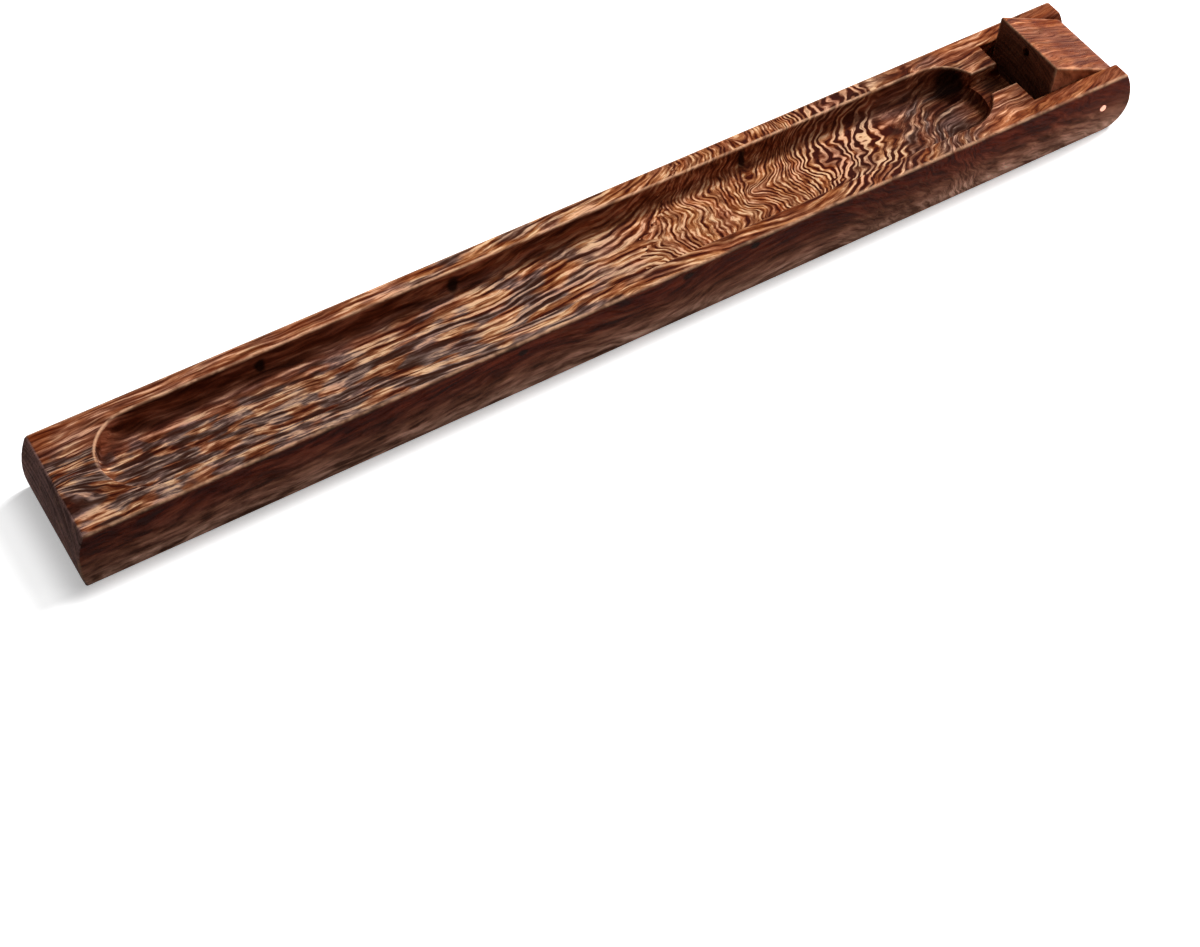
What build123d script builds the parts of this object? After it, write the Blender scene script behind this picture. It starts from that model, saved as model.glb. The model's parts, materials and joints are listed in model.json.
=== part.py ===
from build123d import *
import math
import os

# A reclining incense stick holder: a carved hardwood bar with an ash groove, and a block that flips up on a
# copper pin at the forked end. The stick goes in the block's inner end face and burns out over the groove.
# X runs along the bar towards the fork, Y across it, Z up. The origin is under the bar's middle, on its foot.

# The bar
tray_length = 260.0
tray_width = 30.0
tray_height = 15.0
edge_round = 0.6
corner_round = 1.2
foot_round = 0.4

# The two ends, seen from the side: the plain end bulges gently, the forked end is crowned above a round heel
plain_end_crown = 22.0
plain_end_crown_height = 5.0
fork_end_crown = 16.0
heel_radius = 6.8

# The ash groove
end_land = 12.3
groove_width = 21.0
groove_depth = 6.8
groove_cove = 3.0
rim_round = 0.5

# The finger notch between the groove and the block
notch_length = 6.4
notch_width = 7.6
notch_depth = 4.0

# The fork's slot, whose front wall leans back under the block's undercut face
slot_length = 25.4
slot_width = 21.0
undercut_angle = 20.0
lip_round = 0.35

# The block, and the room around it
block_side_gap = 0.2
block_front_gap = 0.3
block_foot_gap = 0.3
block_edge_round = 0.4
block_lip_round = 0.5
block_toe_round = 1.0
tail_round = 6.0
raise_angle = 25.5

# The hinge pin
pin_diameter = 2.0
pin_setback = 8.0
pin_height = 7.5
pin_chamfer = 0.2
pin_running_clearance = 0.05

# The stick socket, which runs level under the closed block's top, in line with the notch
socket_diameter = 2.2
socket_depth = 10.0
socket_drop = 2.6

# How far cutting shapes reach past the surface that they cut
overrun = 2.0

# Places that follow from the sizes
left_end = -tray_length / 2
right_end = tray_length / 2
slot_front = right_end - slot_length
groove_end = slot_front - notch_length
groove_start = left_end + end_land
pin_x = right_end - pin_setback
pin_radius = pin_diameter / 2
lean = math.tan(math.radians(undercut_angle))


def side_profile():
    """The bar's outline seen from the side, with X along it and the height as Y."""
    rise = tray_height - plain_end_crown_height
    top_turn = math.degrees(math.asin(rise / plain_end_crown))
    foot_turn = math.degrees(math.asin(plain_end_crown_height / plain_end_crown))
    plain_centre = (left_end + plain_end_crown, plain_end_crown_height)
    plain_end = CenterArc(plain_centre, plain_end_crown, 180 - top_turn, top_turn + foot_turn)
    crown_turn = math.degrees(math.asin((tray_height - heel_radius) / fork_end_crown))
    crown = CenterArc((right_end - fork_end_crown, heel_radius), fork_end_crown, 0, crown_turn)
    heel = CenterArc((right_end - heel_radius, heel_radius), heel_radius, -90, 90)
    foot = Line(plain_end @ 1, heel @ 0)
    top = Line(crown @ 1, plain_end @ 0)
    face = make_face([plain_end, foot, heel, crown, top])
    face = fillet(face.vertices().group_by(Axis.Y)[-1], corner_round)
    foot_corner = face.vertices().group_by(Axis.Y)[0].sort_by(Axis.X)[0]
    return fillet(foot_corner, foot_round)


def groove_cutter():
    """The ash groove: round at both ends, with a cove where its wall meets its floor."""
    length = groove_end - groove_start
    middle = (groove_start + groove_end) / 2
    outline = Pos(middle, 0, tray_height - groove_depth) * SlotOverall(length, groove_width)
    cutter = extrude(outline, amount=groove_depth + overrun)
    return fillet(cutter.faces().sort_by(Axis.Z)[0].edges(), groove_cove)


def notch_cutter():
    """The finger notch, from inside the groove to inside the slot."""
    start = groove_end - groove_width / 2
    reach = slot_front + overrun - start
    size = Box(reach, notch_width, notch_depth + overrun)
    return Pos(start + reach / 2, 0, tray_height - notch_depth + (notch_depth + overrun) / 2) * size


def slot_cutter():
    """The slot of the fork, open at the top, the foot and the end."""
    high = tray_height + overrun
    low = -overrun
    front_high = slot_front - overrun * lean
    front_low = slot_front + (tray_height + overrun) * lean
    back = right_end + overrun
    outline = make_face(Polyline((front_high, high), (front_low, low), (back, low), (back, high), close=True))
    return extrude(Plane.XZ * outline, amount=slot_width / 2, both=True)


def across(radius, length):
    """A round bar along the pin's axis."""
    return Pos(pin_x, 0, pin_height) * Rot(90, 0, 0) * Cylinder(radius, length)


def soften_lips(tray):
    """Rounds the upper lips of the slot and of the notch."""

    def is_lip(edge):
        on_top = edge.bounding_box().min.Z > tray_height - lip_round
        between = abs(edge.center().Y) < (slot_width + lip_round) / 2
        return on_top and between and edge.center().X > groove_end

    return fillet(tray.edges().filter_by(is_lip), lip_round)


def make_tray():
    tray = extrude(Plane.XZ * side_profile(), amount=tray_width / 2, both=True)
    tray = fillet(tray.faces().filter_by(Axis.Y).edges(), edge_round)
    tray = tray - groove_cutter()
    rim = tray.faces().filter_by(Axis.Z).sort_by(Axis.Z)[-1].inner_wires()[0]
    tray = fillet(rim.edges(), rim_round)
    tray = soften_lips(tray - notch_cutter() - slot_cutter())
    return tray - across(pin_radius, tray_width + overrun)


def block_profile():
    """The closed block seen from the side: undercut in front, round about the pin at its tail."""
    tail_radius = pin_height - block_foot_gap
    front = slot_front + block_front_gap / math.cos(math.radians(undercut_angle))
    toe = front + (tray_height - block_foot_gap) * lean
    tail = pin_x + tail_radius
    top = Line((front, tray_height), (tail, tray_height))
    back = Line((tail, tray_height), (tail, pin_height))
    under_tail = CenterArc((pin_x, pin_height), tail_radius, 0, -90)
    foot = Line((pin_x, block_foot_gap), (toe, block_foot_gap))
    face_line = Line((toe, block_foot_gap), (front, tray_height))
    face = make_face([top, back, under_tail, foot, face_line])
    tail_corner = face.vertices().group_by(Axis.Y)[-1].sort_by(Axis.X)[-1]
    face = fillet(tail_corner, min(tail_round, tray_height - pin_height - block_edge_round))
    lip = face.vertices().sort_by(Axis.X)[0]
    face = fillet(lip, block_lip_round)
    toe_corner = face.vertices().group_by(Axis.Y)[0].sort_by(Axis.X)[0]
    return fillet(toe_corner, block_toe_round), Vector(front, 0, tray_height)


def make_block():
    profile, lip = block_profile()
    width = slot_width - 2 * block_side_gap
    block = extrude(Plane.XZ * profile, amount=width / 2, both=True)
    block = fillet(block.faces().filter_by(Axis.Y).edges(), block_edge_round)
    block = block - across(pin_radius + pin_running_clearance, tray_width)
    mouth = lip + Vector(socket_drop * lean, 0, -socket_drop)
    start = Plane(mouth - Vector(overrun, 0, 0), z_dir=(1, 0, 0))
    block = block - extrude(start * Circle(socket_diameter / 2), amount=overrun + socket_depth)
    to_pin = Pos(pin_x, 0, pin_height)
    return to_pin * Rot(0, raise_angle, 0) * to_pin.inverse() * block


def make_pin():
    pin = across(pin_radius, tray_width)
    return chamfer(pin.edges().filter_by(GeomType.CIRCLE), pin_chamfer)


os.makedirs("parts", exist_ok=True)
for name, piece in (("tray_body", make_tray()), ("flip_block", make_block()), ("hinge_pin", make_pin())):
    export_step(piece, f"parts/{name}.step")
    print(name, "volume", round(piece.volume, 1), "box", piece.bounding_box())
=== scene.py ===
# %% [markdown]
# # A wooden incense stick holder
#
# The holder is a bar of figured hardwood with a round-ended ash groove. At its forked end a small block
# turns on a copper pin: the stick goes in the block, and its ash falls in the groove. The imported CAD
# model already has the true shapes, so this lesson is about the finish: wood that looks cut from one
# plank, on every side.

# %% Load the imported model
import json
import math

import bmesh
import bpy
from mathutils import Matrix, Vector


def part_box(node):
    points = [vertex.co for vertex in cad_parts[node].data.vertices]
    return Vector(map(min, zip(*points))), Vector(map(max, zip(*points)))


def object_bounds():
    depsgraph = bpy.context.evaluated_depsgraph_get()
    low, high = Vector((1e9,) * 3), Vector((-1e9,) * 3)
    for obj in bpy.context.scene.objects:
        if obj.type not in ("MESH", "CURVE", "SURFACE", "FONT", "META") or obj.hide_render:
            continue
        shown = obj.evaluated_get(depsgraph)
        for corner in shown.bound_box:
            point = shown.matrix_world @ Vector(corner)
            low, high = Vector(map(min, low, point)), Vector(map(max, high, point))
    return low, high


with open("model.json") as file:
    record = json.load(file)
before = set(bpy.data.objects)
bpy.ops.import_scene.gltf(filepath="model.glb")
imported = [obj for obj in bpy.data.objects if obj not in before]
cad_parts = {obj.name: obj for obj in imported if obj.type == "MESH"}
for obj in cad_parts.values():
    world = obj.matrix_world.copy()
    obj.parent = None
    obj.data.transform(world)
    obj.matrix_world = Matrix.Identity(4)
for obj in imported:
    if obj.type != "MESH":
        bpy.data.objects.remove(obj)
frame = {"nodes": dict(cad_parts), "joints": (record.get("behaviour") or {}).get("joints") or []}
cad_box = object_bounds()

mm_per_m = 1000.0
for name in sorted(frame["nodes"]):
    low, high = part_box(name)
    print(name, "measures", [round(side * mm_per_m, 1) for side in high - low], "mm")

# %% [markdown]
# ## The camera
#
# A camera can be placed by eye, or fitted to known corners of the object in a photograph. This one was
# fitted to the bar's corners, so it is given as a place, a lens and three turns: down, to the right, and
# a slight tilt.

# %% Place the camera
camera_place = Vector((-0.1757, -0.30282, 0.37286))
look_down = math.radians(51.24)
look_right = math.radians(29.59)
tilt = math.radians(-1.18)

lens = bpy.data.cameras.new("photo_lens")
lens.sensor_width = 36.0
lens.lens = 70.02
camera = bpy.data.objects.new("photo_camera", lens)
bpy.context.scene.collection.objects.link(camera)
turns = (
    Matrix.Rotation(-look_right, 4, "Z")
    @ Matrix.Rotation(math.pi / 2 - look_down, 4, "X")
    @ Matrix.Rotation(tilt, 4, "Z")
)
camera.matrix_world = Matrix.Translation(camera_place) @ turns
bpy.context.scene.camera = camera
print("camera with a lens of", lens.lens, "mm")

# %% [markdown]
# ## Laying nodes
#
# A material is a tree of nodes, and writing each link by hand makes long scripts. This small bench puts a
# node in a tree, sets its sockets, and joins a socket wherever it is given one instead of a number.


# %% A bench for nodes
class Bench:
    """Lays nodes in one tree and joins them."""

    def __init__(self, tree):
        self.tree = tree

    def put(self, kind, takes=(), **settings):
        made = self.tree.nodes.new("ShaderNode" + kind)
        for name, value in settings.items():
            setattr(made, name, value)
        for place, value in dict(takes).items():
            self.join(value, made.inputs[place])
        return made

    def join(self, value, socket):
        if isinstance(value, bpy.types.NodeSocket):
            self.tree.links.new(value, socket)
        else:
            socket.default_value = value

    def sum(self, operation, *values):
        """One sum of any kind, by a Math node."""
        return self.put("Math", enumerate(values), operation=operation).outputs[0]

    def times(self, first, *others):
        for other in others:
            first = self.sum("MULTIPLY", first, other)
        return first

    def plus(self, base, value, share):
        """The base with a share of a value added."""
        return self.sum("MULTIPLY_ADD", value, share, base)

    def swing(self, noise):
        """A noise that swings about zero."""
        return self.sum("SUBTRACT", noise, 0.5)

    def clamp(self, value):
        return self.put("Clamp", {0: value}).outputs[0]

    def vector(self, operation, *values):
        return self.put("VectorMath", enumerate(values), operation=operation).outputs["Vector"]

    def split(self, vector):
        return self.put("SeparateXYZ", {0: vector}).outputs

    def gather(self, x, y, z):
        return self.put("CombineXYZ", {0: x, 1: y, 2: z}).outputs[0]

    def tint(self, colour, share):
        """A colour made darker or paler by a factor."""
        return self.vector("MULTIPLY", colour, self.gather(share, share, share))

    def distance(self, first, second):
        return self.sum("SQRT", self.plus(self.times(second, second), first, first))

    def step(self, value, low, high, start=0.0, end=1.0):
        """A smooth change from start to end, as the value goes from low to high."""
        takes = {"Value": value, "From Min": low, "From Max": high, "To Min": start, "To Max": end}
        return self.put("MapRange", takes, interpolation_type="SMOOTHSTEP").outputs[0]

    def fall(self, value, low, high):
        """1 up to the low value, 0 from the high one on."""
        return self.step(value, low, high, 1.0, 0.0)

    def spread(self, value, start, end):
        """A value from 0 to 1 spread evenly between two others."""
        return self.put("MapRange", {"Value": value, "To Min": start, "To Max": end}).outputs[0]

    def noise(self, vector, stretch, detail=2.0, roughness=0.5, bend=0.0):
        takes = {"Vector": self.vector("MULTIPLY", vector, stretch), "Scale": 1.0}
        takes.update({"Detail": detail, "Roughness": roughness, "Distortion": bend})
        return self.put("TexNoise", takes).outputs

    def mix(self, mode, share, below, above):
        """Two colours mixed. The Mix node has its colours at inputs 6 and 7 and output 2."""
        made = self.put("Mix", data_type="RGBA", blend_type=mode)
        for place, value in ((0, share), (6, below), (7, above)):
            self.join(value, made.inputs[place])
        return made.outputs[2]

    def ramp(self, value, stops):
        made = self.put("ValToRGB", {0: value})
        marks = made.color_ramp.elements
        while len(marks) < len(stops):
            marks.new(1.0)
        for mark, (place, colour) in zip(marks, stops):
            mark.position = place
            mark.color = colour
        return made.outputs[0]

    def group(self, name, takes):
        made = self.put("Group", node_tree=bpy.data.node_groups[name])
        for place, value in takes.items():
            self.join(value, made.inputs[place])
        return made.outputs

    def object_place(self):
        """Where a point lies on its object, in metres from the origin."""
        return self.put("TexCoord").outputs["Object"]

    def object_place_mm(self):
        return self.vector("MULTIPLY", self.object_place(), (mm_per_m, mm_per_m, mm_per_m))


print("the bench is ready")


# %% Groups, materials and colours
def new_group(name, takes, gives):
    """An empty node group with named sockets, and a bench to work in it."""
    tree = bpy.data.node_groups.new(name, "ShaderNodeTree")
    for label, kind, value in takes:
        socket = tree.interface.new_socket(label, in_out="INPUT", socket_type="NodeSocket" + kind)
        socket.default_value = value
    for label, kind in gives:
        tree.interface.new_socket(label, in_out="OUTPUT", socket_type="NodeSocket" + kind)
    bench = Bench(tree)
    entry = tree.nodes.new("NodeGroupInput")
    leave = tree.nodes.new("NodeGroupOutput")
    return bench, entry.outputs, leave.inputs


def new_material(name):
    """An empty material, its shader, and a bench to work in it."""
    made = bpy.data.materials.new(name)
    made.use_nodes = True
    return made, made.node_tree.nodes["Principled BSDF"], Bench(made.node_tree)


def shade(red, green, blue):
    """A colour read off a screen, 0 to 255, as the linear colour that Blender mixes."""
    parts = [part / 255 for part in (red, green, blue)]
    linear = [part / 12.92 if part <= 0.04045 else ((part + 0.055) / 1.055) ** 2.4 for part in parts]
    return (*linear, 1.0)


print("a middle grey is", round(shade(128, 128, 128)[0], 3), "in linear light")

# %% [markdown]
# ## The floor and the white background
#
# The holder lies on plain white paper. The floor could be a lit white plane alone, but then it would
# throw so much light back that the bar's sides look pale. So the paper is white to the camera and to
# reflections, and duller to the light that it bounces. It also glows a little to the camera, and less so
# close to the bar, so that it still catches the shadow there.

# %% Lay the floor
floor_half = 3.0

mesh = bpy.data.meshes.new("paper_floor")
shape = bmesh.new()
bmesh.ops.create_grid(shape, x_segments=1, y_segments=1, size=floor_half)
shape.to_mesh(mesh)
shape.free()
floor = bpy.data.objects.new("paper_floor", mesh)
bpy.context.scene.collection.objects.link(floor)
print("floor of", 2 * floor_half, "m")

# %% Make the paper
paper_seen = 0.95
paper_bounce = 0.3
near_paper_glow = 0.4
far_paper_glow = 0.78
glow_reach = 0.008


def seen_directly(bench):
    """1 for what the camera, a reflection or a clear material sees, 0 for bounced light."""
    path = bench.put("LightPath").outputs
    mirrored = bench.sum("MAXIMUM", path["Is Glossy Ray"], path["Is Transmission Ray"])
    return bench.sum("MAXIMUM", path["Is Camera Ray"], mirrored)


def away_from_box(bench, box):
    """How far a point of the floor is from the box's foot."""
    low, high = box
    middle, half = (low + high) / 2, (high - low) / 2
    spot = bench.vector("SUBTRACT", bench.object_place(), (middle.x, middle.y, 0.0))
    past = bench.vector("SUBTRACT", bench.vector("ABSOLUTE", spot), (half.x, half.y, 0.0))
    past = bench.vector("MAXIMUM", past, (0.0, 0.0, 0.0))
    return bench.put("VectorMath", {0: past}, operation="LENGTH").outputs["Value"]


paper, paper_shader, bench = new_material("white_paper")
seen = seen_directly(bench)
bench.join(bench.spread(seen, paper_bounce, paper_seen), paper_shader.inputs["Base Color"])
glow = bench.step(away_from_box(bench, cad_box), 0.0, glow_reach, near_paper_glow, far_paper_glow)
bench.join(bench.times(seen, glow), paper_shader.inputs["Emission Strength"])
paper_shader.inputs["Emission Color"].default_value = (1.0, 1.0, 1.0, 1.0)
paper_shader.inputs["Roughness"].default_value = 0.9
paper_shader.inputs["Specular IOR Level"].default_value = 0.1
mesh.materials.append(paper)
print("made", paper.name)

# %% [markdown]
# ## The light
#
# The main lamp is wide and stands high on the right, a little behind. A smaller one below it throws the
# raised block's shadow over the notch and leaves the groove's right end in shade. A weak one overhead
# softens both, and a weaker one in front keeps the near side readable. Together they are set so that a
# colour comes out about as written.


# %% Set the lamps
def soft_lamp(name, place, size, level, facing):
    """A round lamp aimed at the origin.

    At level 1, a surface that faces it by that much shows its colours as written.
    """
    data = bpy.data.lights.new(name, "AREA")
    data.shape = "DISK"
    data.size = size
    data.energy = level * math.pi ** 2 * Vector(place).length_squared / facing
    lamp = bpy.data.objects.new(name, data)
    aim = (-Vector(place)).to_track_quat("-Z", "Y")
    lamp.matrix_world = Matrix.Translation(place) @ aim.to_matrix().to_4x4()
    bpy.context.scene.collection.objects.link(lamp)
    print(name, "gives", round(data.energy, 1), "W")


def facing_up(place):
    return Vector(place).normalized().z


high_right = (0.95, 0.2, 1.1)
low_right = (1.32, 0.14, 0.75)
overhead = (0.0, 0.3, 1.5)
front = (0.3, -0.2, 0.16)
near_side_facing = 0.6
fill_level = 0.045
soft_lamp("high_right_lamp", high_right, size=0.5, level=0.52, facing=facing_up(high_right))
soft_lamp("low_right_lamp", low_right, size=0.3, level=0.37, facing=facing_up(low_right))
soft_lamp("overhead_lamp", overhead, size=1.0, level=0.06, facing=facing_up(overhead))
soft_lamp("front_lamp", front, size=0.2, level=0.095, facing=near_side_facing)

world = bpy.data.worlds.new("studio")
bpy.context.scene.world = world
world.use_nodes = True
bench = Bench(world.node_tree)
background = world.node_tree.nodes["Background"]
bench.join(bench.spread(seen_directly(bench), fill_level, 1.0), background.inputs["Strength"])
background.inputs["Color"].default_value = (1.0, 1.0, 1.0, 1.0)
bpy.context.scene.view_settings.view_transform = "Standard"
print("the fill is", fill_level)

# %% [markdown]
# ## The growth layers
#
# Wood figure is the growth layers of the tree, cut by the surface. A picture could be wrapped round the
# bar, but then the figure would break at each edge. Here every point of the plank gets a layer number
# instead, so the lines run on from the top over the edges to the sides. A swell is a place where the
# layers bulge, and lines bend round it. A steep, small one also serves as a knot.

# %% Swells in the layers
bench, takes, gives = new_group(
    "layer_swell",
    [
        ("Place", "Vector", (0, 0, 0)),
        ("Centre", "Vector", (0, 0, 0)),
        ("Reach", "Vector", (1, 1, 1)),
        ("Rise", "Float", 1.0),
    ],
    [("Layer", "Float")],
)
offset = bench.vector("SUBTRACT", takes["Place"], takes["Centre"])
offset = bench.vector("DIVIDE", offset, takes["Reach"])
square = bench.put("VectorMath", {0: offset, 1: offset}, operation="DOT_PRODUCT").outputs["Value"]
bell = bench.sum("EXPONENT", bench.times(square, -1.0))
bench.join(bench.times(bell, takes["Rise"]), gives["Layer"])


def swell_up(bench, layer, place, centre, reach, rise=1.0):
    takes = {"Place": place, "Centre": centre, "Reach": reach, "Rise": rise}
    return bench.sum("ADD", layer, bench.group("layer_swell", takes)["Layer"])


print("made the group layer_swell")

# %% [markdown]
# ## How the layers run
#
# On the real bar the figure changes from end to end: long streaks at the left, fine cross ripples past
# the middle, a bold maze after them, and lines that slant away at the fork. No single formula gives all
# that, so each property is a short list of values at places along the bar, and a curve node joins them
# smoothly.

# %% Lists for the ripples
# Places are in millimetres from the bar's middle. The lists say how far the layers stand on edge, how
# fast they climb along the bar, how much they slant and from where, and how deep the maze is.
on_edge = [
    (-130, 0.6), (8, 0.6), (14, 0.5), (20, 0.3), (25, 0.08), (34, 0.0), (39, 0.06), (43, 0.45), (48, 0.4),
    (53, 0.06), (60, 0.0), (130, 0.0),
]
climb_rate = [
    (-130, 0.0), (-4, 0.0), (8, 0.45), (14, 0.6), (20, 0.74), (27, 0.8), (32, 0.88), (42, 0.92), (52, 0.92),
    (57, 0.55), (60, 0.4), (72, 0.36), (77, 0.1), (84, -0.1), (92, -0.2), (97, 0.18), (130, 0.15),
]
slant = [(-130, 0.0), (38, 0.0), (50, 0.45), (60, 0.42), (75, 0.44), (88, 0.75), (130, 0.9)]
slant_from = [(-130, -8.0), (45, -8.0), (60, 0.5), (72, 2.0), (84, 9.0), (95, 15.0), (130, 15.0)]
maze_depth = [(-130, 0.0), (54, 0.0), (60, 1.8), (72, 1.8), (80, 0.6), (130, 0.0)]


def peak(points):
    """Where along the bar a list is highest."""
    return max(points, key=lambda point: point[1])[0]


print("the ripples climb fastest at", peak(climb_rate), "mm from the middle")

# %% Lists for the long lines
# Long lines fill the left of the bar. Along the near edge they sweep on under the ripples and turn up
# into the bold part, and along the far edge they fan out. The lists say how fast they climb, how close
# they lie, where they end towards the ripples on the near side and on the far side, and how they fan.
long_end = 60
long_rate = [
    (-130, 0.0), (-60, 0.0), (-45, -0.06), (-30, 0.05), (-12, 0.1), (4, 0.04), (10, -0.2), (17, -0.2),
    (22, -0.02), (34, 0.02), (42, 0.1), (48, 0.22), (54, 0.36), (long_end, 0.52), (130, 0.52),
]
long_density = [(-130, 0.85), (-60, 0.8), (-20, 0.66), (18, 0.62), (long_end, 0.45), (130, 0.45)]
long_top = [
    (-130, 22.0), (6.5, 22.0), (9, 1.0), (12, -5.0), (18, -9.0), (24, -10.4), (44, -10.4), (50, -5.0),
    (55, -2.0), (long_end, 1.0), (130, 1.0),
]
long_roof = [(-130, 0.0), (8, 0.0), (12, 4.0), (18, 8.0), (24, 13.0), (29, 22.0), (130, 22.0)]
long_fan = [(-130, 0.0), (0, 0.0), (8, 0.25), (14, 0.6), (20, 0.65), (26, 0.4), (34, 0.0), (130, 0.0)]

print("the long lines lie closest at", peak(long_density), "mm from the middle")

# %% Swells and knots
# Swells have a centre, a reach and a rise. Pin knots have a centre and a reach. The last two are no knots
# but painted shade, in the groove's far right corner and on the notch floor under the raised block.
swells = [
    ((40.0, 3.6, 8.0), (4.0, 2.2, 30.0), 3.0),
    ((36.0, -3.0, 8.0), (6.0, 2.6, 30.0), -2.4),
    ((68.0, 3.5, 8.0), (4.0, 2.6, 30.0), 0.7),
]
end_swell = ((-126.0, -3.0, 12.0), (9.0, 4.5, 30.0), 5.0)
knots_and_shade_spots = [
    ((-78.0, 10.6, 11.5), (1.5, 1.5, 2.2)),
    ((-33.0, 10.6, 11.0), (1.6, 1.5, 2.4)),
    ((40.0, 10.6, 11.5), (1.1, 1.5, 3.4)),
    ((10.5, -15.0, 12.9), (1.5, 1.5, 1.2)),
    ((27.0, -15.0, 13.2), (1.3, 1.5, 1.0)),
    ((-30.0, -15.0, 12.0), (1.2, 1.5, 1.0)),
    # Painted shade: the groove's far right corner.
    ((95.0, 7.8, 10.8), (5.2, 3.2, 5.2)),
    # Painted shade: the notch floor under the raised block.
    ((102.0, 1.0, 9.6), (4.5, 4.0, 2.2)),
]
print("the figure has", len(swells) + 1, "swells and", len(knots_and_shade_spots), "knots_and_shade_spots")

# %% Curves along the bar
bar_half = 130.0


def climbed(rates):
    """The running total of a rate along the bar."""
    total = 0.0
    points = [(rates[0][0], total)]
    for (start, first), (end, second) in zip(rates, rates[1:]):
        total += (first + second) / 2 * (end - start)
        points.append((end, total))
    return points


def bar_share(bench, x):
    """A place along the bar as a share of its length."""
    return bench.plus(0.5, x, 1 / (2 * bar_half))


def along_bar(bench, share, points):
    """A smooth curve through the values given along the bar."""
    values = [value for _, value in points]
    low, high = min(values), max(values)
    curve = bench.put("FloatCurve", {"Value": share})
    line = curve.mapping.curves[0]
    while len(line.points) < len(points):
        line.points.new(0.5, 0.5)
    for mark, (place, value) in zip(line.points, points):
        mark.location = ((place + bar_half) / (2 * bar_half), (value - low) / (high - low))
        mark.handle_type = "AUTO_CLAMPED"
    curve.mapping.update()
    return bench.plus(low, curve.outputs[0], high - low)


print("the curves are", 2 * bar_half, "mm long")

# %% [markdown]
# ## The ripples
#
# The ripples are layers that rise along the bar, so the flat floor of the groove cuts across them.
# Straight layers would look ruled, so each point is first moved a little by noise, once broadly and once
# finely.

# %% Lay the ripples
drift_stretch, drift_reach = (0.045, 0.13, 0.1), (6.0, 4.0, 3.0)
wobble_stretch, wobble_reach = (0.2, 0.3, 0.3), (1.6, 1.0, 0.6)
fan_middle = 0.5
fan_round = 2.0
slant_round = 4.0

bench, takes, gives = new_group(
    "growth_layers",
    [("Place", "Vector", (0, 0, 0))],
    [("Layer", "Float"), ("Share", "Float"), ("Seam", "Float"), ("Knots_and_Shade", "Float")],
)


def stray(bench, place, stretch, reach, detail):
    """How far noise moves a point."""
    colour = bench.noise(place, stretch, detail)["Color"]
    return bench.vector("MULTIPLY", bench.vector("SUBTRACT", colour, (0.5, 0.5, 0.5)), reach)


place = takes["Place"]
drift = stray(bench, place, drift_stretch, drift_reach, 2.0)
wobble = stray(bench, place, wobble_stretch, wobble_reach, 1.0)
near_place = bench.vector("ADD", place, wobble)
drifted = bench.vector("ADD", place, drift)
moved = bench.vector("ADD", near_place, drift)
x, y, z = bench.split(moved)
share = bar_share(bench, x)

side = bench.sum("SUBTRACT", y, fan_middle)
ridge = bench.sum("SQRT", bench.plus(fan_round, side, side))
layer = bench.times(ridge, along_bar(bench, share, on_edge), -1.0)
below = bench.sum("SUBTRACT", along_bar(bench, share, slant_from), y)
below = bench.sum("SMOOTH_MAX", below, 0.0, slant_round)
layer = bench.plus(layer, below, along_bar(bench, share, slant))
layer = bench.sum("ADD", layer, along_bar(bench, share, climbed(climb_rate)))
for centre, reach, rise in swells:
    layer = swell_up(bench, layer, moved, centre, reach, rise)
print("laid the ripples")

# %% [markdown]
# ## The long lines
#
# At the left the layers stand on edge along the bar and give long streaks. They could fade into the
# ripples, but real figure changes at a clear, ragged border, so a mask takes one or the other. The
# border, or seam, is kept to be darkened later.

# %% Lay the long lines
bar_top = 15.0
long_depth = 6.8
long_depth_lean = 0.5
long_fingers = 14.0
finger_stretch = (0.12, 0.75, 0.4)
fan_start, fan_full = 0.0, 7.0
seam_width = 0.8
seam_start, seam_full = 12.0, 22.0
seam_fade = 6

drifted_x, drifted_y, _ = bench.split(drifted)
drifted_share = bar_share(bench, drifted_x)
long_offset = dict(climbed(climb_rate))[long_end] - dict(climbed(long_rate))[long_end]
long_lines = bench.sum("SUBTRACT", dict(slant_from)[long_end], drifted_y)
long_lines = bench.plus(long_offset, long_lines, along_bar(bench, drifted_share, long_density))
long_lines = bench.sum("ADD", long_lines, along_bar(bench, drifted_share, climbed(long_rate)))
fanned = along_bar(bench, drifted_share, climbed(long_fan))
fanned = bench.times(fanned, bench.step(drifted_y, fan_start, fan_full))
long_lines = bench.sum("ADD", long_lines, fanned)

near_x, near_y, near_z = bench.split(near_place)
fingers = bench.noise(place, finger_stretch, 1.0)[0]
ragged_share = bench.plus(bar_share(bench, near_x), bench.swing(fingers), long_fingers / (2 * bar_half))
over = bench.sum("SUBTRACT", near_y, along_bar(bench, ragged_share, long_top))
depth = bench.sum("MINIMUM", bench.sum("SUBTRACT", bar_top, near_z), long_depth)
over = bench.plus(over, depth, long_depth_lean)
under_roof = bench.sum("SUBTRACT", along_bar(bench, ragged_share, long_roof), near_y)
over = bench.sum("MINIMUM", over, under_roof)
in_long = bench.times(bench.sum("LESS_THAN", over, 0.0), bench.sum("LESS_THAN", x, long_end))
layer = bench.plus(layer, in_long, bench.sum("SUBTRACT", long_lines, layer))
layer = swell_up(bench, layer, moved, *end_swell)

seam = bench.fall(bench.sum("ABSOLUTE", over), 0.0, seam_width)
seam = bench.times(seam, bench.fall(near_x, long_end - seam_fade, long_end))
seam = bench.times(seam, bench.step(near_x, seam_start, seam_full))
print("laid the long lines, up to", long_end, "mm right of the middle")

# %% [markdown]
# ## Depth, unrest, knots and painted shade
#
# The layers also tilt with depth, one way on the near half and the other way on the far half, so the
# sides get lines of their own. A little unrest keeps the lines from running quite even, and the maze is a
# stronger unrest in the bold part alone.

# %% Finish the layers
groove_floor = 8.2
layers_per_mm_up = 0.5
tilt_middle = 1.0
tilt_width = 8.0
unrest_stretch = (0.2, 0.35, 0.3)
unrest = 1.1
less_unrest_in_long = -0.6
maze_stretch = (0.25, 0.35, 0.25)

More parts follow.
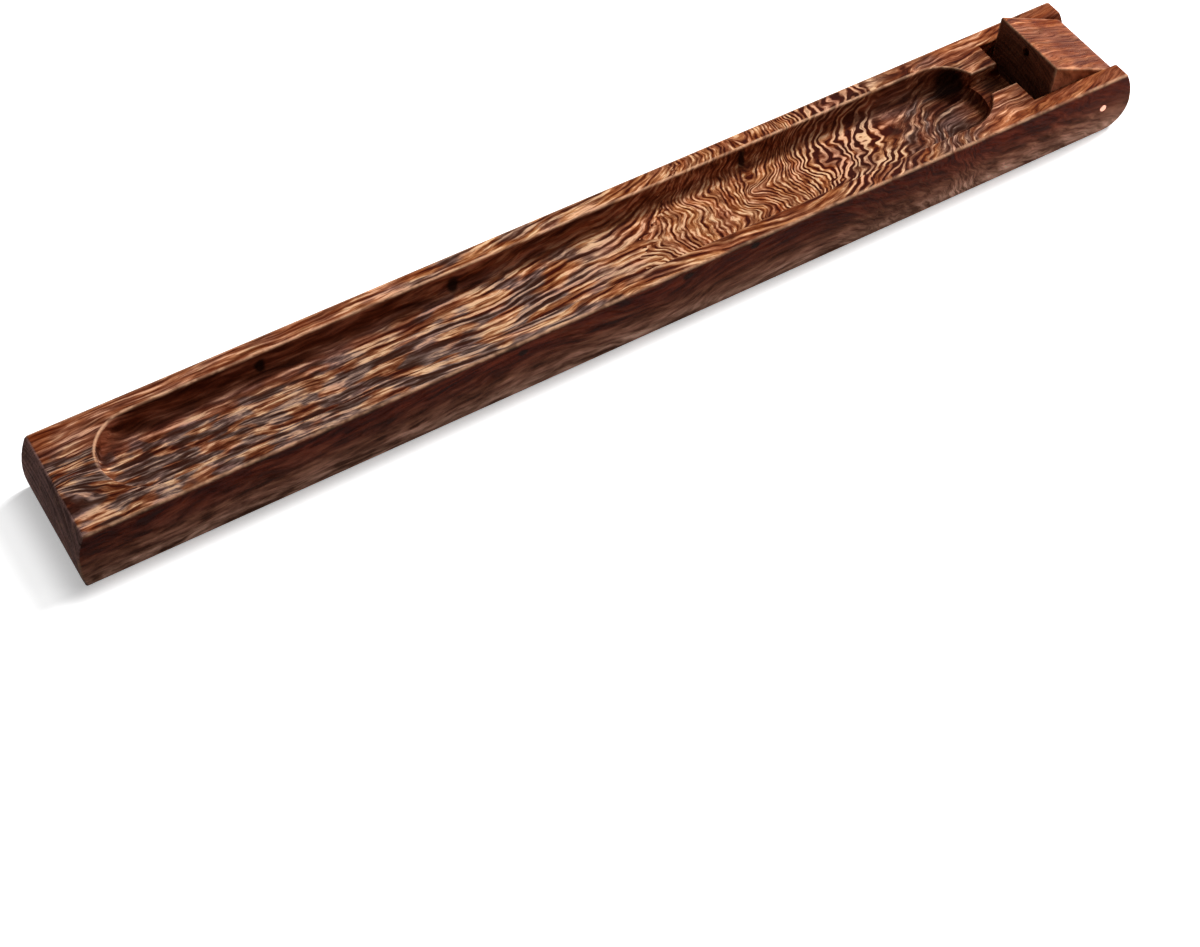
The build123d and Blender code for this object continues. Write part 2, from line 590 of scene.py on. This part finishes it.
leaning = bench.sum("TANH", bench.plus(tilt_middle / tilt_width, y, -1 / tilt_width))
up = bench.times(bench.sum("SUBTRACT", z, groove_floor), layers_per_mm_up)
layer = bench.plus(layer, up, leaning)
jitter = bench.noise(place, unrest_stretch, 2.0, 0.6)[0]
layer = bench.plus(layer, bench.swing(jitter), bench.plus(unrest, in_long, less_unrest_in_long))
maze = bench.noise(place, maze_stretch, 0.0, bend=0.5)[0]
layer = bench.plus(layer, bench.swing(maze), along_bar(bench, share, maze_depth))

dark = 0.0
for centre, reach in knots_and_shade_spots:
    dark = swell_up(bench, dark, near_place, centre, reach)
for socket, value in (("Layer", layer), ("Share", share), ("Seam", seam), ("Knots_and_Shade", dark)):
    bench.join(value, gives[socket])
print("made the group growth_layers")

# %% [markdown]
# ## The colours of the wood
#
# Each layer has a pale and a dark half, and streaks of every size run along the layers. A ramp turns that
# into colour. One ramp would make the wood look printed in a single ink, so there are two: dull brown to
# grey, and golden. The lists say how each part of the bar takes its share of lines, streaks, patches and
# gold.

# %% The tones
golden_tones = [
    (0.0, shade(61, 10, 0)),
    (0.2, shade(106, 45, 12)),
    (0.4, shade(139, 78, 42)),
    (0.6, shade(168, 105, 62)),
    (0.8, shade(206, 145, 98)),
    (1.0, shade(245, 198, 152)),
]
dull_tones = [
    (0.0, shade(54, 26, 16)),
    (0.2, shade(68, 43, 33)),
    (0.4, shade(84, 62, 54)),
    (0.6, shade(114, 90, 82)),
    (0.8, shade(153, 123, 108)),
    (1.0, shade(202, 161, 134)),
]
red_tone = shade(255, 236, 240)
pore_tone = shade(125, 92, 78)
print("made", len(golden_tones), "golden and", len(dull_tones), "dull tones")

# %% How the colours change along the bar
paleness = [
    (-130, 0.5), (-60, 0.53), (-20, 0.54), (5, 0.56), (16, 0.58), (30, 0.53), (50, 0.48), (57, 0.43),
    (72, 0.41), (78, 0.41), (84, 0.4), (91, 0.42), (97, 0.43), (106, 0.44), (122, 0.455), (126, 0.5),
    (128.5, 0.36), (130, 0.36),
]
edge_paleness = [
    (-130, 0.03), (-100, 0.06), (-40, 0.06), (-10, 0.02), (10, -0.03), (68, -0.06), (78, 0.08), (94, 0.08),
    (104, -0.06), (130, -0.05),
]
gold = [
    (-130, 0.34), (-110, 0.04), (-60, 0.07), (-20, 0.38), (5, 0.68), (16, 0.88), (50, 0.88), (60, 0.72),
    (74, 0.6), (82, 0.26), (90, 0.32), (98, 0.72), (130, 0.76),
]
redness = [
    (-130, 0.5), (-110, 0.1), (-60, 0.05), (0, 0.2), (30, 0.35), (60, 0.3), (80, 0.2), (96, 1.0),
    (130, 1.0),
]
patch_contrast = [
    (-130, 1.3), (-40, 1.2), (5, 0.5), (18, 0.25), (50, 0.25), (62, 0.4), (86, 0.5), (100, 0.3), (130, 0.3),
]
line_contrast = [
    (-130, 0.1), (-60, 0.22), (-30, 0.55), (5, 0.75), (16, 0.7), (32, 0.6), (50, 0.75), (57, 1.65),
    (69, 1.65), (76, 0.7), (82, 0.35), (100, 0.2), (130, 0.12),
]
streak_contrast = [
    (-130, 2.5), (-60, 2.7), (-30, 2.9), (5, 2.9), (20, 2.7), (50, 2.8), (58, 1.9), (74, 2.1), (82, 2.8),
    (92, 2.6), (112, 2.0), (122, 1.3), (128, 1.0), (130, 1.0),
]
fine_contrast = [
    (-130, 2.3), (-60, 2.3), (-20, 1.9), (5, 1.4), (16, 0.6), (60, 0.3), (90, 0.9), (120, 0.9), (128, 0.6),
    (130, 0.6),
]
streaks_per_mm = [(-130, 0.085), (-60, 0.07), (-30, 0.05), (130, 0.05)]
print("the wood is palest at", peak(paleness), "mm from the middle")

# %% [markdown]
# ## Streaks, patches and pores
#
# All of these are noise, stretched along the layers: its first direction runs along the bar and its
# second across the layers, so that streaks follow every bend. Patches are broad and ragged, streaks are
# long, fine lines are thin, and pores are short dark dashes.

# %% Lay the streaks and patches
streak_stretch = (2.0, 1.0, 0.36)
patch_stretch = (2.1, 0.46, 0.16)
fade_stretch = (2.0, 0.5, 0.3)
fine_stretch = (1.2, 1.4, 0.3)
pore_stretch = (4.0, 5.5, 0.45)
patch_rag = 0.3
patch_low, patch_high = 0.38, 0.62
pore_low, pore_high = 0.38, 0.5

bench, takes, gives = new_group(
    "figured_wood",
    [("Place", "Vector", (0, 0, 0))],
    [("Color", "Color"), ("Paleness", "Float"), ("Pores", "Float"), ("Lines", "Float"), ("Black", "Float")],
)
layers = bench.group("growth_layers", {"Place": takes["Place"]})
layer, share = layers["Layer"], layers["Share"]
x, y, z = bench.split(takes["Place"])
along = along_bar(bench, share, climbed(streaks_per_mm))
grain_place = bench.gather(along, layer, bench.sum("ADD", y, z))
streak = bench.noise(grain_place, streak_stretch, 3.0, 0.62)[0]
patches = bench.noise(grain_place, patch_stretch, 1.0)["Color"]
fade = bench.noise(grain_place, fade_stretch, 1.0)[0]
fine = bench.noise(grain_place, fine_stretch, 1.0)[0]
pore = bench.noise(grain_place, pore_stretch, 2.0, 0.6)[0]
tone, hue, warmth = bench.put("SeparateColor", {0: patches}).outputs
ragged = bench.swing(streak)
tone, hue = [
    bench.step(bench.plus(part, ragged, patch_rag), patch_low, patch_high) for part in (tone, hue)
]
wave = bench.step(bench.sum("COSINE", bench.times(layer, 2 * math.pi)), -1.0, 1.0)
pores = bench.fall(pore, pore_low, pore_high)
print("laid streaks, patches, fine lines and pores")

# %% [markdown]
# ## How pale each point is
#
# Paleness adds up the streaks, the patches and the bold lines. Real streaks have a long pale tail and few
# deep darks, which the square of the streaks gives. The plank's two edges differ from its heart, and the
# left of its far edge is quiet, with few patches and fine straight lines.

# %% Add up the paleness
quiet_start, quiet_full = 4.0, 9.0
quiet_end, quiet_gone = -70.0, -20.0
quiet_patches = -0.8
quiet_streaks = -0.6
quiet_paleness = -0.03
pale_tail = 0.45
pale_tail_mean = 0.035
patch_paleness = 0.23
edge_start, edge_full = 8.5, 11.0
edge_lines = -0.3
fade_low, fade_high = 0.3, 0.6
faded_lines, full_lines = 0.3, 1.1
seam_paleness = -0.3

quiet = bench.times(bench.step(y, quiet_start, quiet_full), bench.fall(x, quiet_end, quiet_gone))
patchy = bench.times(along_bar(bench, share, patch_contrast), bench.plus(1.0, quiet, quiet_patches))
streaky = bench.times(along_bar(bench, share, streak_contrast), bench.plus(1.0, quiet, quiet_streaks))
streaks = bench.times(bench.swing(streak), streaky)
streaks = bench.plus(streaks, bench.swing(fine), along_bar(bench, share, fine_contrast))
streaks = bench.plus(streaks, bench.times(streaks, streaks), pale_tail)
base = bench.sum("SUBTRACT", along_bar(bench, share, paleness), pale_tail_mean)
base = bench.sum("ADD", streaks, base)
base = bench.plus(base, bench.swing(tone), bench.times(patchy, patch_paleness))
base = bench.plus(base, quiet, quiet_paleness)
at_edge = bench.step(bench.sum("ABSOLUTE", y), edge_start, edge_full)
base = bench.plus(base, at_edge, along_bar(bench, share, edge_paleness))

bold = along_bar(bench, share, line_contrast)
bold = bench.times(bold, bench.step(fade, fade_low, fade_high, faded_lines, full_lines))
bold = bench.times(bold, bench.plus(1.0, at_edge, edge_lines))
value = bench.plus(base, bench.swing(wave), bold)
value = bench.plus(value, layers["Seam"], seam_paleness)
print("added up the paleness")

# %% [markdown]
# ## From paleness to colour
#
# Slow patches choose between the dull and the golden ramp, and some are a little redder. The far edge is
# more golden as far as the ripples, and so are both edges at the fork. Pores, knots and the painted
# shade in the groove's right corner and the notch go over everything.

# %% Colour the wood
far_edge_start, far_edge_full = 8.0, 12.0
far_edge_end, far_edge_gone = 0.0, 20.0
far_edge_gold = 0.3
quiet_gold = 0.35
fork_start, fork_full = 62.0, 80.0
fork_edge_gold = 0.2
red_patches = 3.5
pore_share = 0.5
knot_and_shade_low, knot_and_shade_high = 0.25, 0.75
knot_and_shade_share = 0.9

golden = bench.plus(along_bar(bench, share, gold), bench.swing(hue), patchy)
far_edge = bench.step(y, far_edge_start, far_edge_full)
far_edge = bench.times(far_edge, bench.fall(x, far_edge_end, far_edge_gone))
fork_edge = bench.times(at_edge, bench.step(x, fork_start, fork_full))
for mask, more in ((far_edge, far_edge_gold), (quiet, quiet_gold), (fork_edge, fork_edge_gold)):
    golden = bench.plus(golden, mask, more)
dull, bright = [bench.ramp(value, tones) for tones in (dull_tones, golden_tones)]
colour = bench.mix("MIX", bench.clamp(golden), dull, bright)
red = bench.plus(along_bar(bench, share, redness), bench.swing(warmth), red_patches)
colour = bench.mix("MULTIPLY", bench.clamp(bench.sum("ADD", red, quiet)), colour, red_tone)
colour = bench.mix("MULTIPLY", bench.times(pores, pore_share), colour, pore_tone)
black = bench.step(layers["Knots_and_Shade"], knot_and_shade_low, knot_and_shade_high, 0.0, knot_and_shade_share)
results = {"Color": colour, "Paleness": base, "Pores": pores, "Lines": wave, "Black": black}
for socket, value in results.items():
    bench.join(value, gives[socket])
print("made the group figured_wood")

# %% [markdown]
# ## Edges and faces
#
# The edges of a holder are paler, partly rubbed by hands and partly a painted highlight. Its sawn ends
# show end grain in a tone of their own, on the bar partly a painted sheen. Both follow from how near a
# point is to the faces of the piece's own box, so one group serves the bar and the block. The block's
# front face leans, so the box can lean too.

# %% Nearness to edges and ends
# The paler edges are part wear and part painted highlight.
wear_and_highlight_widening = 1.7

bench, takes, gives = new_group(
    "edge_and_end",
    [
        ("Place", "Vector", (0, 0, 0)),
        ("Half", "Vector", (1, 1, 1)),
        ("Width", "Float", 1.0),
        ("Lean", "Float", 0.0),
    ],
    [("Edge", "Float"), ("Side", "Float"), ("End", "Float")],
)
x, y, z = bench.split(takes["Place"])
half_x, half_y, half_z = bench.split(takes["Half"])
from_top = bench.sum("SUBTRACT", half_z, z)
from_left = bench.sum("SUBTRACT", bench.sum("ADD", half_x, x), bench.times(from_top, takes["Lean"]))
end_depth = bench.sum("MINIMUM", from_left, bench.sum("SUBTRACT", half_x, x))
side_depth = bench.sum("SUBTRACT", half_y, bench.sum("ABSOLUTE", y))
level_depth = bench.sum("SUBTRACT", half_z, bench.sum("ABSOLUTE", z))
bench.join(bench.fall(end_depth, 0.0, takes["Width"]), gives["End"])
bench.join(bench.fall(side_depth, 0.0, takes["Width"]), gives["Side"])

wear_and_highlight_width = bench.times(takes["Width"], wear_and_highlight_widening)
end, side, level = [bench.fall(depth, 0.0, wear_and_highlight_width) for depth in (end_depth, side_depth, level_depth)]
edge = bench.sum("MAXIMUM", bench.times(end, side), bench.times(side, level))
bench.join(bench.sum("MAXIMUM", edge, bench.times(end, level)), gives["Edge"])
print("made the group edge_and_end")

# %% [markdown]
# ## The groove and the sawn ends
#
# The groove's wall is darker than its floor, and darker still near its foot: both are painted shade. Its
# far rim is paler, like the lips of the notch, partly from wear and partly as a painted highlight. A sawn
# end shows the layers as arcs and the pores as specks. All are masks worked out from the groove's own
# sizes, because the groove is part of the one carved piece.

# %% Rims and lips
groove_middle = -9.75
groove_straight_half = 97.45
groove_radius = 10.5
notch_half = 3.8
notch_start = 97.0
notch_end = 105.0
notch_fade = 1.0

rim_middle = groove_radius + 0.25
rim_reach = 0.45
rim_near, rim_far = -4.0, 10.0
least_rim = 0.1
lip_middle = notch_half + 0.15
lip_reach = 0.4
# The far rim and the notch's lips are paler, part wear and part painted highlight.
rim_wear_and_highlight_low, rim_wear_and_highlight_high = 14.2, 14.6


def past_groove_middle(bench, x, y):
    """How far a point is from the line between the centres of the groove's two round ends."""
    past = bench.sum("ABSOLUTE", bench.sum("SUBTRACT", x, groove_middle))
    past = bench.sum("MAXIMUM", bench.sum("SUBTRACT", past, groove_straight_half), 0.0)
    return bench.distance(past, y)


def worn_and_highlit_rim(bench, place):
    """The far rim of the groove and the lips of the notch."""
    x, y, z = bench.split(place)
    off_rim = bench.sum("SUBTRACT", past_groove_middle(bench, x, y), rim_middle)
    rim = bench.fall(bench.sum("ABSOLUTE", off_rim), 0.0, rim_reach)
    rim = bench.times(rim, bench.step(y, rim_near, rim_far, least_rim, 1.0))
    off_lip = bench.sum("SUBTRACT", bench.sum("ABSOLUTE", y), lip_middle)
    lip = bench.fall(bench.sum("ABSOLUTE", off_lip), 0.0, lip_reach)
    lip = bench.times(lip, bench.step(x, notch_start, notch_start + notch_fade))
    lip = bench.times(lip, bench.fall(x, notch_end - notch_fade, notch_end))
    return bench.times(bench.sum("MAXIMUM", rim, lip), bench.step(z, rim_wear_and_highlight_low, rim_wear_and_highlight_high))


print("a mask for the rim of a groove", 2 * groove_radius, "mm wide")

# %% The groove's wall
wall_start, wall_full = groove_radius - 1.9, groove_radius - 1.0
wall_end, wall_gone = groove_radius + 0.1, groove_radius + 0.4
wall_top, wall_over = 14.4, 14.9
arc_end, arc_gone = -112.0, -105.0
arc_near, arc_far = 2.0, 8.0


def groove_wall(bench, place):
    """The groove's wall, apart from the near part of its left end, which has the figure of the top."""
    x, y, z = bench.split(place)
    away = past_groove_middle(bench, x, y)
    wall = bench.times(bench.step(away, wall_start, wall_full), bench.fall(away, wall_end, wall_gone))
    off_arc = bench.sum("MAXIMUM", bench.step(x, arc_end, arc_gone), bench.step(y, arc_near, arc_far))
    return bench.times(wall, off_arc, bench.fall(z, wall_top, wall_over))


print("a mask for the wall, up to", wall_over, "mm high")

# %% Sawn ends
plain_end_x, plain_end_z = -108.0, 5.0
plain_end_crown = 22.0
skin_start, skin_full = plain_end_crown - 0.5, plain_end_crown - 0.2


def plain_end(bench, place):
    """The bulging sawn end of the bar."""
    x, _, z = bench.split(place)
    along = bench.sum("SUBTRACT", x, plain_end_x)
    away = bench.distance(along, bench.sum("SUBTRACT", z, plain_end_z))
    return bench.times(bench.step(away, skin_start, skin_full), bench.sum("LESS_THAN", x, plain_end_x))


ring_y, ring_z = 6.0, -26.0
ring_stretch = (1.5, 1.0, 0.2)
ring_drift = 0.1
ring_low, ring_high = 0.3, 0.7
dark_ring, pale_ring = 0.45, 1.5
speck_stretch = (0.5, 2.6, 2.6)
speck_low, speck_high = 0.36, 0.46
speck_share = 0.4


def end_grain(bench, place):
    """How pale a sawn end is, with its arcs and specks."""
    x, y, z = bench.split(place)
    arc = bench.distance(bench.sum("SUBTRACT", y, ring_y), bench.sum("SUBTRACT", z, ring_z))
    rings = bench.noise(bench.gather(arc, bench.times(y, ring_drift), x), ring_stretch, 2.0, 0.6)[0]
    rings = bench.step(rings, ring_low, ring_high, dark_ring, pale_ring)
    specks = bench.step(bench.noise(place, speck_stretch, 1.0)[0], speck_low, speck_high)
    return bench.times(rings, bench.plus(1 - speck_share, specks, speck_share))


print("a mask for the sawn end, with a crown of", plain_end_crown, "mm")

# %% [markdown]
# ## The two woods
#
# The bar and the block are the same wood with the same oil finish. The block's figure is turned with it,
# because the block was sawn with its grain along its own length and stands raised here. On the sides the
# figure is only a mottle, which gets paler towards the foot. On the bar it also gets paler towards the
# fork, as painted light from the right.

# %% The figure on the sides
mottle_gain = 1.6
least_mottle = 0.25
green_mottle, blue_mottle = 1.15, 1.25
# The sides are painted paler towards the fork, as painted light from the right.
fork_side_start, fork_side_full = 30.0, 120.0
bar_mottle, fork_mottle = 0.93, 1.5


def side_mottle(bench, paleness, along, grooved):
    """The figure as it shows on the sides, as a factor for each colour."""
    mottle = bench.plus(1.0, bench.swing(paleness), mottle_gain)
    mottle = bench.sum("MAXIMUM", mottle, least_mottle)
    if grooved:
        # On the bar, sides and walls get paler towards the fork: painted light from the right.
        painted_light_to_fork = bench.step(along, fork_side_start, fork_side_full, bar_mottle, fork_mottle)
        mottle = bench.times(mottle, painted_light_to_fork)
    green, blue = [bench.sum("POWER", mottle, power) for power in (green_mottle, blue_mottle)]
    return bench.gather(mottle, green, blue)


print("the mottle is", round(fork_mottle / bar_mottle, 2), "times as pale at the fork")

# %% A recipe for the wood
face_width = 0.5
side_share = 0.95
end_share = 0.85
# The groove's wall takes this darker tone as painted shade.
wall_shade_tone = shade(122, 61, 39)
wall_left, wall_right = -10.0, 30.0
left_wall_share, right_wall_share = 0.8, 0.52
# Towards its foot the wall is darkened further, as painted shade.
foot_shade_low, foot_shade_high = groove_floor + 0.4, groove_floor + 3.3
foot_shade_share = 0.42
block_edge_share = 0.55
black_tone = shade(20, 8, 4)
# Pale edges, rims and lips: part wear, part painted highlight.
wear_and_highlight_tone = shade(238, 184, 146)
wear_and_highlight_stretch = (0.3, 0.3, 0.3)
patchy_wear_and_highlight = (0.38, 0.62, 0.25, 0.8)
smooth, porous = 0.5, 0.68
end_roughness = 0.25
line_relief = 0.35
relief_depth = 0.00012


def plank_place(bench, turn_back, about):
    """Where a point lay before its piece was raised."""
    place = bench.object_place_mm()
    if not turn_back:
        return place
    place = bench.vector("SUBTRACT", place, about)
    takes = {"Vector": place, "Rotation": (0.0, turn_back, 0.0)}
    return bench.vector("ADD", bench.put("Mapping", takes, vector_type="POINT").outputs[0], about)


def wood(
    name, box, side_tones, end_tone, grooved, lean=0.0, turn_back=0.0, about=(0, 0, 0), shift=(0, 0, 0)
):
    """The figured wood for a piece with that box, whose figure lies shifted in the plank."""
    made, shader, bench = new_material(name)
    middle, half = box
    place = plank_place(bench, turn_back, about)
    along, _, height = bench.split(place)
    figure = bench.group("figured_wood", {"Place": bench.vector("ADD", place, shift)})
    box_place = bench.vector("SUBTRACT", place, middle)
    faces = {"Place": box_place, "Half": half, "Width": face_width, "Lean": lean}
    faces = bench.group("edge_and_end", faces)
    edge, end = faces["Edge"], faces["End"]

    mottle = side_mottle(bench, figure["Paleness"], along, grooved)
    side_colour = bench.ramp(bench.sum("DIVIDE", height, bar_top), side_tones)
    side_colour = bench.vector("MULTIPLY", side_colour, mottle)
    colour = bench.mix("MIX", bench.times(faces["Side"], side_share), figure["Color"], side_colour)
    if grooved:
        # Painted shade: the wall is darker than the floor, and darker still near its foot.
        wall_share = bench.step(along, wall_left, wall_right, left_wall_share, right_wall_share)
        wall = bench.times(groove_wall(bench, place), wall_share)
        foot_shade = bench.step(height, foot_shade_low, foot_shade_high, foot_shade_share, 1.0)
        shaded_wall_colour = bench.tint(bench.vector("MULTIPLY", mottle, wall_shade_tone[:3]), foot_shade)
        colour = bench.mix("MIX", wall, colour, shaded_wall_colour)
        edge = bench.sum("MAXIMUM", edge, worn_and_highlit_rim(bench, place))
        end = bench.sum("MAXIMUM", end, plain_end(bench, place))
    else:
        edge = bench.times(edge, block_edge_share)
    # Knots, and the painted shade in the groove's corner and the notch, go nearly black.
    colour = bench.mix("MIX", figure["Black"], colour, black_tone)
    end_colour = bench.tint(end_tone[:3], end_grain(bench, place))
    colour = bench.mix("MIX", bench.times(end, end_share), colour, end_colour)
    # Edges, the far rim and the notch's lips go paler: part wear, part painted highlight.
    wear_and_highlight = bench.step(bench.noise(place, wear_and_highlight_stretch, 2.0, 0.6)[0], *patchy_wear_and_highlight)
    colour = bench.mix("MIX", bench.times(edge, wear_and_highlight), colour, wear_and_highlight_tone)
    bench.join(colour, shader.inputs["Base Color"])

    roughness = bench.plus(bench.spread(figure["Pores"], smooth, porous), end, end_roughness)
    bench.join(roughness, shader.inputs["Roughness"])
    relief = bench.plus(bench.times(figure["Lines"], line_relief), figure["Pores"], -1.0)
    bump = bench.put("Bump", {"Height": relief, "Strength": 0.35, "Distance": relief_depth})
    bench.join(bump.outputs[0], shader.inputs["Normal"])
    shader.inputs["Specular IOR Level"].default_value = 0.03
    return made


print("the relief of the grain is", relief_depth * mm_per_m, "mm deep")


# %% Make the bar's wood
def box_of(name):
    """The middle and the half size of a piece, in millimetres."""
    low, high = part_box(name)
    return [part * mm_per_m for part in (low + high) / 2], [part * mm_per_m for part in (high - low) / 2]


bar_side = [
    (0.0, shade(150, 100, 80)),
    (0.12, shade(202, 149, 125)),
    (0.27, shade(163, 108, 87)),
    (0.4, shade(136, 84, 63)),
    (0.53, shade(106, 53, 37)),
    (0.8, shade(91, 29, 14)),
    (0.9, shade(84, 25, 10)),
]
# The bar's end tone is its end grain made greyer and paler, partly as a painted sheen.
bar_end = shade(160, 121, 114)
bar_wood = wood("oiled_bar_wood", box_of("tray_body"), bar_side, bar_end, grooved=True)
print("made", bar_wood.name)

# %% Make the block's wood
joint = frame["joints"][0]
pin_place = [part * mm_per_m for part in joint["pos_m"]]
raised = math.radians(-joint["range_deg"][0])
closed_block_box = ((117.05, 0.0, 7.65), (12.15, 10.3, 7.35))
block_lean = math.tan(math.radians(20.0))
block_in_plank = (14.0, 3.0, 4.0)
block_side = [(0.0, shade(190, 130, 106)), (1.0, shade(158, 82, 46))]
block_end = shade(120, 74, 54)
block_wood = wood(
    "oiled_block_wood",
    closed_block_box,
    block_side,
    block_end,
    grooved=False,
    lean=block_lean,
    turn_back=-raised,
    about=pin_place,
    shift=block_in_plank,
)
print("made", block_wood.name)

# %% [markdown]
# ## The pin
#
# The pin is a turned copper rod, cut off and rubbed flush with the cheeks. Fine rings from the file and a
# little darkening towards the rim keep its small end from looking like a flat dot.

# %% Make the copper
bright_copper = shade(234, 172, 148)
dull_copper = shade(170, 98, 76)
scratch_stretch = (9.0, 0.8, 3.0)
scratch_tarnish = 0.4
rim_tarnish = 0.35
pin_rim_start, pin_radius = 0.7, 1.0
polished, scratched = 0.22, 0.5
rings_turn = 60.0
ring_relief = 0.15
scratch_depth = 0.00002

copper, copper_shader, bench = new_material("polished_copper")
place = bench.vector("SUBTRACT", bench.object_place_mm(), pin_place)
x, _, z = bench.split(place)
radius = bench.distance(x, z)
scratches = bench.noise(place, scratch_stretch, 3.0, 0.6)[0]
tarnish = bench.times(bench.step(radius, pin_rim_start, pin_radius), rim_tarnish)
tarnish = bench.plus(tarnish, scratches, scratch_tarnish)
bench.join(bench.mix("MIX", tarnish, bright_copper, dull_copper), copper_shader.inputs["Base Color"])
bench.join(bench.spread(scratches, polished, scratched), copper_shader.inputs["Roughness"])
rings = bench.sum("SINE", bench.times(radius, rings_turn))
relief = bench.plus(bench.times(rings, ring_relief), scratches, 1.0)
bump = bench.put("Bump", {"Height": relief, "Strength": 0.3, "Distance": scratch_depth})
bench.join(bump.outputs[0], copper_shader.inputs["Normal"])
copper_shader.inputs["Metallic"].default_value = 1.0
print("made", copper.name)

# %% [markdown]
# ## Finish the pieces
#
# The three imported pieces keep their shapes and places, so each only takes its new finish.

# %% Dress the pieces
finishes = {"tray_body": bar_wood, "flip_block": block_wood, "hinge_pin": copper}
for name, finish in finishes.items():
    piece = frame["nodes"][name]
    piece.data.materials.clear()
    piece.data.materials.append(finish)
    print(name, "wears", finish.name)

# %% [markdown]
# ## The last line

# %% Finish
print("finished")
